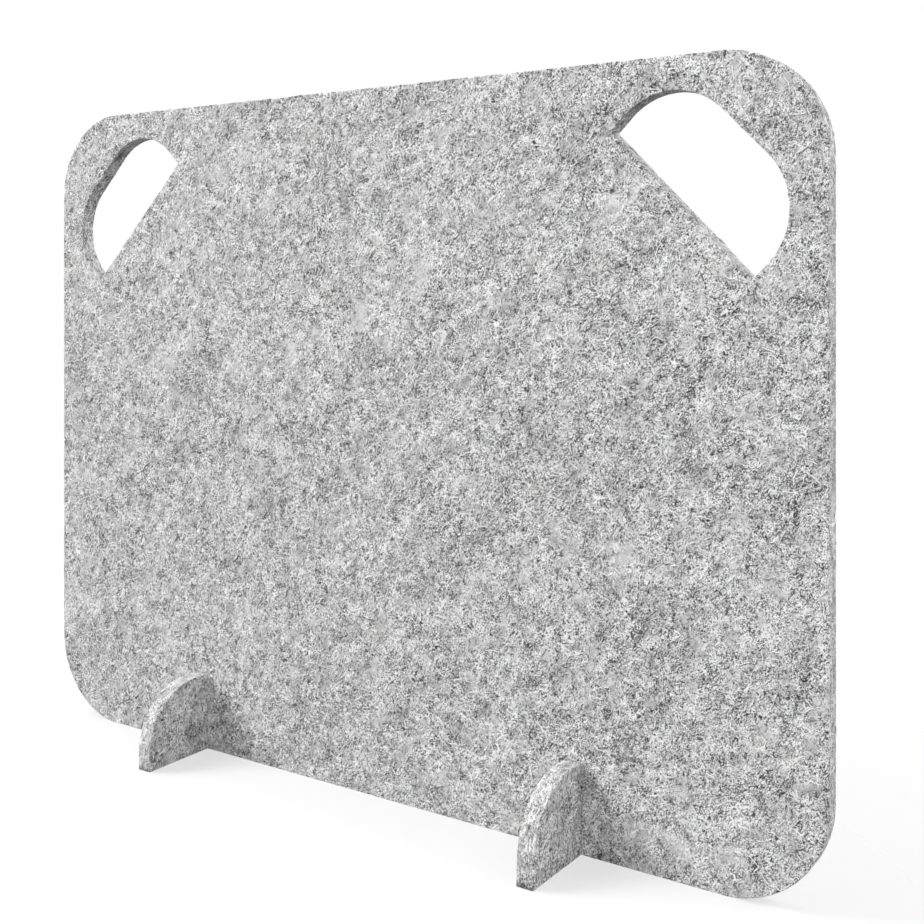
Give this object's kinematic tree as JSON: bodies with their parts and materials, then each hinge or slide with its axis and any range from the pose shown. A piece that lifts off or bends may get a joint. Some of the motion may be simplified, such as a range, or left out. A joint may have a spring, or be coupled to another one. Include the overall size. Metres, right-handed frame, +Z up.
{
  "type": "desk divider screen",
  "caption": "Free-standing acoustic screen of thick grey felt board: a round-cornered panel with D-shaped hand holes in its upper corners, standing on slotted half-round feet.",
  "frame": {"origin": "on the surface that the screen stands on, below the middle of the panel, in the panel's mid-plane", "axes": "+X along the panel, to the right as seen from the front; +Y towards its back; +Z up"},
  "size_m": [0.66, 0.13, 0.5],
  "materials": {
    "felt_board": "pressed polyester felt of light and dark grey fibres, matte and slightly hairy"
  },
  "bodies": {
    "panel": {"panel": "felt_board"},
    "foot_left": {"foot_left": "felt_board"},
    "foot_right": {"foot_right": "felt_board"}
  },
  "joints": [
    {"name": "foot_left_pull", "type": "slide", "parent": "panel", "child": "foot_left", "axis": [0, 0, -1], "range_m": [0, 0.06]},
    {"name": "foot_right_pull", "type": "slide", "parent": "panel", "child": "foot_right", "axis": [0, 0, -1], "range_m": [0, 0.06]}
  ]
}
